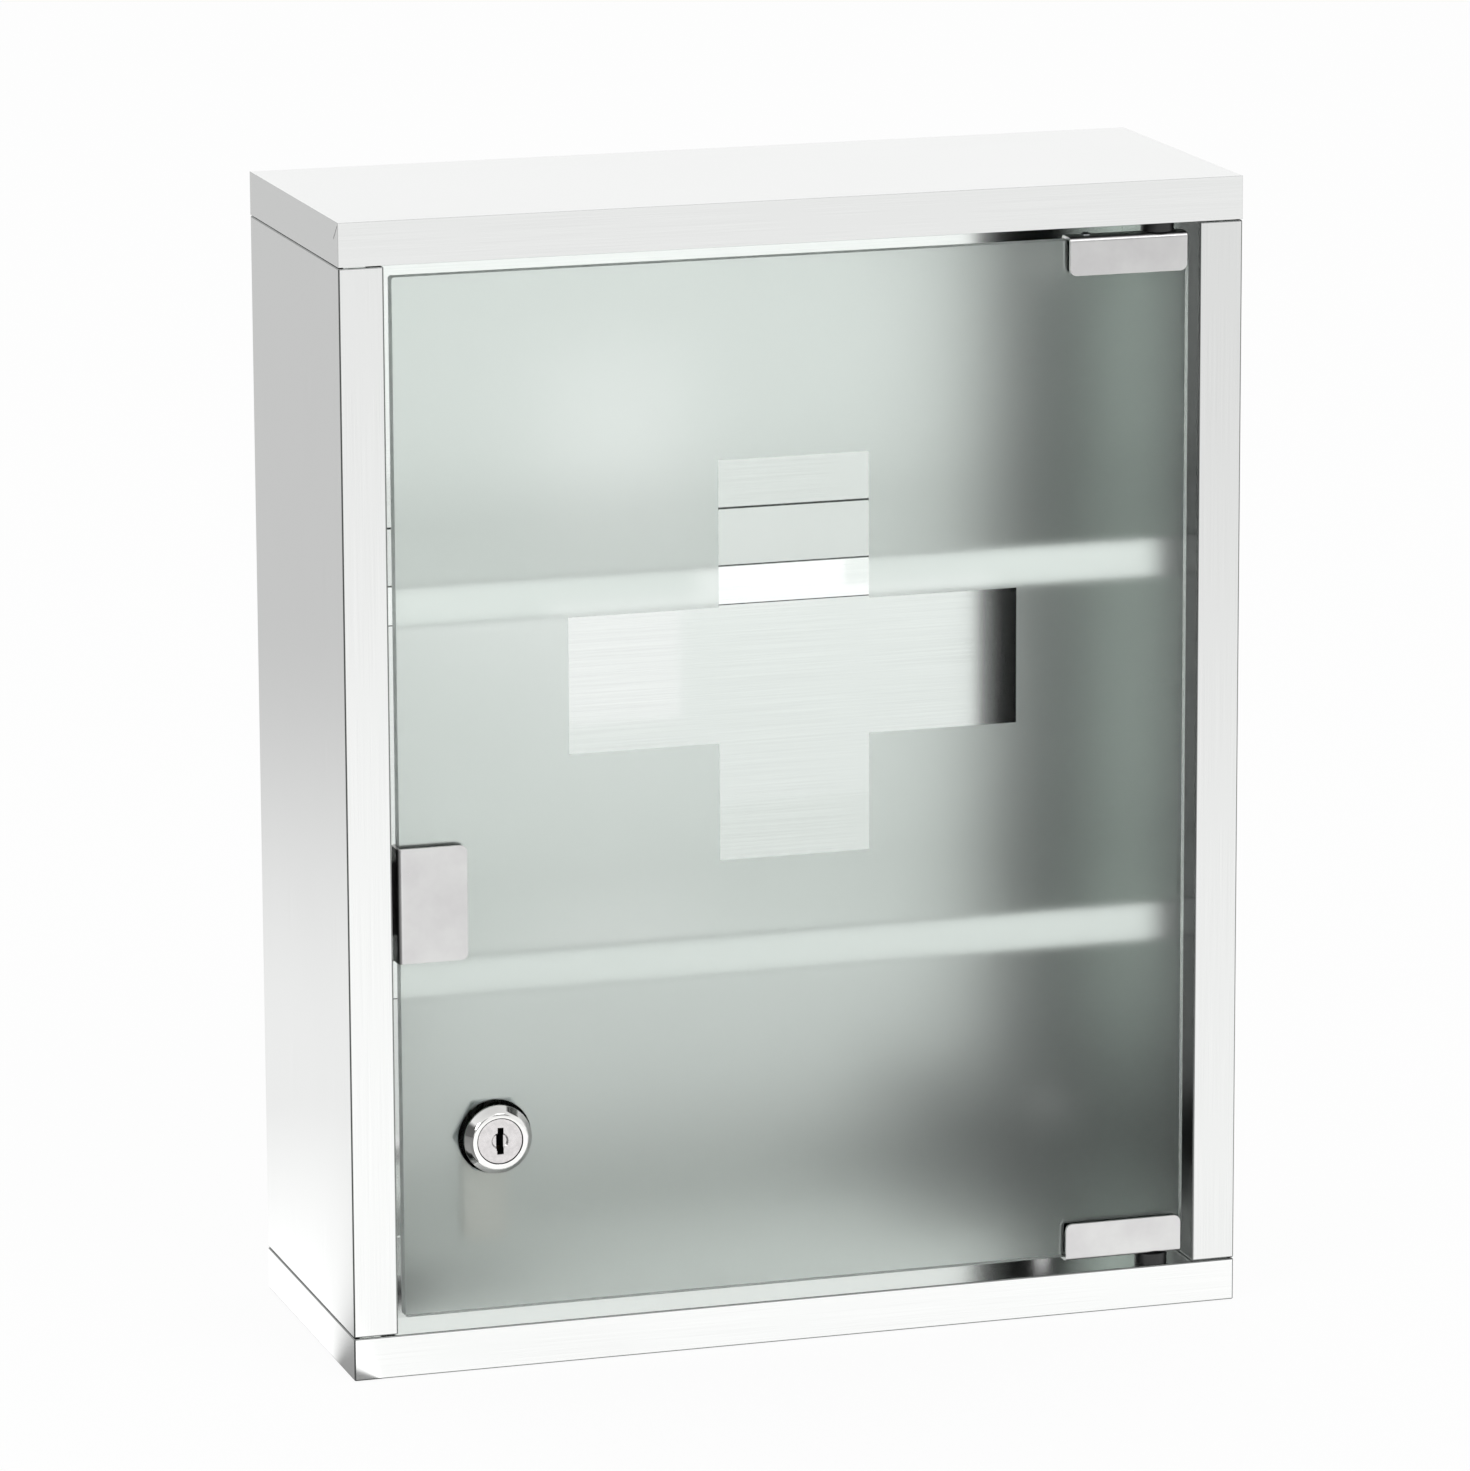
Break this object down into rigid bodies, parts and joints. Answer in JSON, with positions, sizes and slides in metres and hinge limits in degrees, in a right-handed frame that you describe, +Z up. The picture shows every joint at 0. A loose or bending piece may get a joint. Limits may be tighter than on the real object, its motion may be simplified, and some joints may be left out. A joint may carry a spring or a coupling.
{
  "type": "lockable medicine cabinet",
  "caption": "Shallow wall cabinet in folded stainless steel with fixed shelves and an etched glass door bearing a clear cross, hung on corner pivots and closed by a cam lock.",
  "frame": {"origin": "middle of the cabinet's underside", "axes": "+X to the right seen from the front, +Y from the door towards the wall, +Z up"},
  "size_m": [0.32, 0.1217, 0.4],
  "materials": {
    "casing_steel": "satin",
    "shelf_steel": "satin",
    "clip_steel": "satin",
    "pin_steel": "smooth",
    "screw_steel": "smooth",
    "lock_chrome": "polished",
    "plug_metal": "satin",
    "brass": "smooth",
    "magnet": "matte",
    "black_plastic": "matte",
    "black_rubber": "matte",
    "door_glass": "etched on its back except for the clear cross"
  },
  "bodies": {
    "casing": {"top_shell": "casing_steel", "bottom_shell": "casing_steel", "left_side_panel": "casing_steel", "right_side_panel": "casing_steel", "back_panel": "casing_steel", "upper_shelf": "shelf_steel", "lower_shelf": "shelf_steel", "top_pivot_bush": "black_plastic", "bottom_pivot_bush": "black_plastic", "catch_housing": "black_plastic", "catch_magnet": "magnet", "catch_screws": "screw_steel"},
    "door": {"door_glass": "door_glass", "top_hinge_clip": "clip_steel", "bottom_hinge_clip": "clip_steel", "top_hinge_pads": "black_rubber", "bottom_hinge_pads": "black_rubber", "top_pivot_pin": "pin_steel", "bottom_pivot_pin": "pin_steel", "hinge_clamp_screws": "screw_steel", "hinge_height_screws": "screw_steel", "handle_clip": "clip_steel", "handle_pads": "black_rubber", "handle_clamp_screws": "screw_steel", "lock_housing": "lock_chrome", "lock_gasket": "black_rubber", "lock_washer": "black_plastic", "lock_nut": "screw_steel"},
    "lock": {"lock_plug": "plug_metal", "lock_wafers": "brass", "lock_cam": "screw_steel", "cam_washer": "screw_steel", "cam_screw": "screw_steel"}
  },
  "joints": [
    {"name": "door_hinge", "type": "hinge", "parent": "casing", "child": "door", "pos_m": [0.131, -0.0541, 0.2], "axis": [0, 0, 1], "range_deg": [0, 120]},
    {"name": "lock_turn", "type": "hinge", "parent": "door", "child": "lock", "pos_m": [-0.108, -0.0576, 0.081], "axis": [0, 1, 0], "range_deg": [0, 90]}
  ]
}
